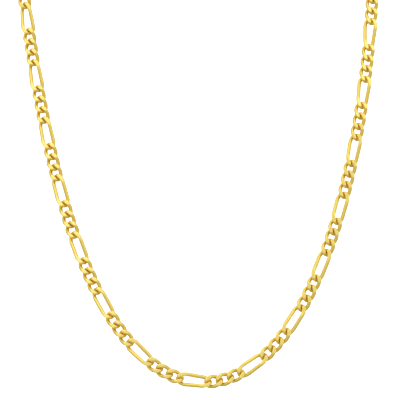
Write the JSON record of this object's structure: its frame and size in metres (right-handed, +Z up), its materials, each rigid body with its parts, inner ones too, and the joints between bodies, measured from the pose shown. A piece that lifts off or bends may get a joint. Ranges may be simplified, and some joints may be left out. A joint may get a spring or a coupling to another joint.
{
  "type": "figaro neck chain",
  "caption": "Figaro neck chain of gold curb links, short ones and a long one in turn, closed in a loop and hanging as it is worn.",
  "frame": {"origin": "on the skin at the middle of the nape, where the chain rests round the neck", "axes": "+Z up, +X to the wearer's left, -Y forward: the hanging front faces -Y"},
  "size_m": [0.1022, 0.0958, 0.1391],
  "materials": {
    "link_gold": "polished yellow gold, flat faces a little brighter than the round sides",
    "clasp_gold": "polished yellow gold with fine wear marks"
  },
  "bodies": {
    "root": {"link_set_01": "link_gold", "link_set_02": "link_gold", "link_set_03": "link_gold", "link_set_04": "link_gold", "link_set_05": "link_gold", "link_set_06": "link_gold", "link_set_07": "link_gold", "link_set_08": "link_gold", "link_set_09": "link_gold", "link_set_10": "link_gold", "link_set_11": "link_gold", "link_set_12": "link_gold", "link_set_13": "link_gold", "link_set_14": "link_gold", "link_set_15": "link_gold", "link_set_16": "link_gold", "link_set_17": "link_gold", "link_set_18": "link_gold", "link_set_19": "link_gold", "link_set_20": "link_gold", "link_set_21": "link_gold", "link_set_22": "link_gold", "link_set_23": "link_gold", "link_set_24": "link_gold", "link_set_25": "link_gold", "link_set_26": "link_gold", "link_set_27": "link_gold", "link_set_28": "link_gold", "link_set_29": "link_gold", "link_set_30": "link_gold", "link_set_31": "link_gold", "link_set_32": "link_gold", "clasp": "clasp_gold"}
  },
  "joints": []
}
